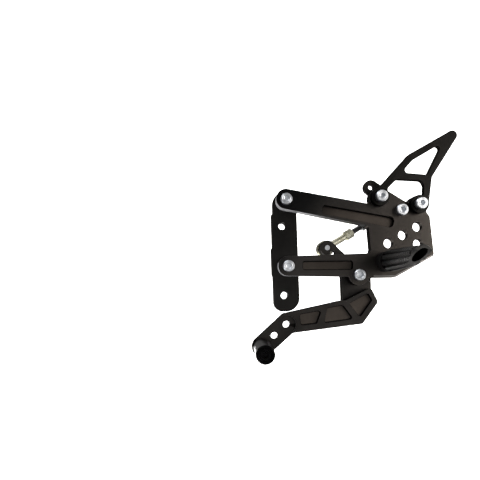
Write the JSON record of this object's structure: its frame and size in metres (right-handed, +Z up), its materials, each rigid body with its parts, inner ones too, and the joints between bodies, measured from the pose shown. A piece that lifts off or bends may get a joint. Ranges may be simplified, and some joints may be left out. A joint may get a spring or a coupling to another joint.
{
  "type": "motorcycle rear set footrest",
  "caption": "Left-hand motorcycle rear set: milled A-shaped bracket on a frame plate with toothed footrest, heel guard, shift lever with toe peg and a linkage rod.",
  "frame": {"origin": "midway between the two frame bolts, on the plate face that meets the motorcycle frame", "axes": "+X towards the rear of the motorcycle, +Z up, -Y outwards to the rider's foot"},
  "size_m": [0.241, 0.1069, 0.2514],
  "materials": {
    "anodised_plate": "satin black anodised, milled plate",
    "anodised_turned": "satin black anodised, turned bar",
    "zinc_bolts": "bright zinc plated",
    "pale_zinc": "pale yellow zinc plated",
    "ground_steel": "ground",
    "bronze_bushing": "plain bearing bronze",
    "black_bolt": "black oxide",
    "black_rod": "black coated rod"
  },
  "bodies": {
    "stand": {"mount_plate": "anodised_plate", "bracket": "anodised_plate", "arm_bolts": "zinc_bolts", "heel_guard": "anodised_plate", "guard_bolts": "zinc_bolts", "accessory_tab": "anodised_plate", "tab_bolt": "zinc_bolts", "tab_nut": "zinc_bolts", "footpeg": "anodised_turned", "footpeg_bolt": "zinc_bolts", "footpeg_washer": "zinc_bolts", "pivot_sleeve": "ground_steel", "pivot_bolt": "zinc_bolts", "pivot_washer": "zinc_bolts", "pivot_nut": "zinc_bolts"},
    "lever": {"shift_lever": "anodised_plate", "lever_bushing": "bronze_bushing", "toe_peg": "anodised_turned", "toe_peg_bolt": "black_bolt", "rod_bolt": "zinc_bolts", "rod_bolt_washer": "zinc_bolts", "rod_end_ball": "ground_steel"},
    "rod": {"rod_end": "pale_zinc", "rod_lock_nut": "pale_zinc", "shift_rod": "black_rod", "far_lock_nut": "pale_zinc", "far_rod_end": "pale_zinc"},
    "far_ball": {"far_rod_end_ball": "ground_steel"}
  },
  "joints": [
    {"name": "lever_pivot", "type": "hinge", "parent": "stand", "child": "lever", "pos_m": [0.0853, -0.0057, -0.0202], "axis": [0, 1, 0], "range_deg": [-12, 8]},
    {"name": "rod_swing", "type": "hinge", "parent": "lever", "child": "rod", "pos_m": [0.05278, 0.0028, 0.01359], "axis": [0, 1, 0], "range_deg": [-60, 40]},
    {"name": "far_ball_turn", "type": "hinge", "parent": "rod", "child": "far_ball", "pos_m": [0.13111, 0.0028, 0.05791], "axis": [0, 1, 0], "continuous": true}
  ]
}
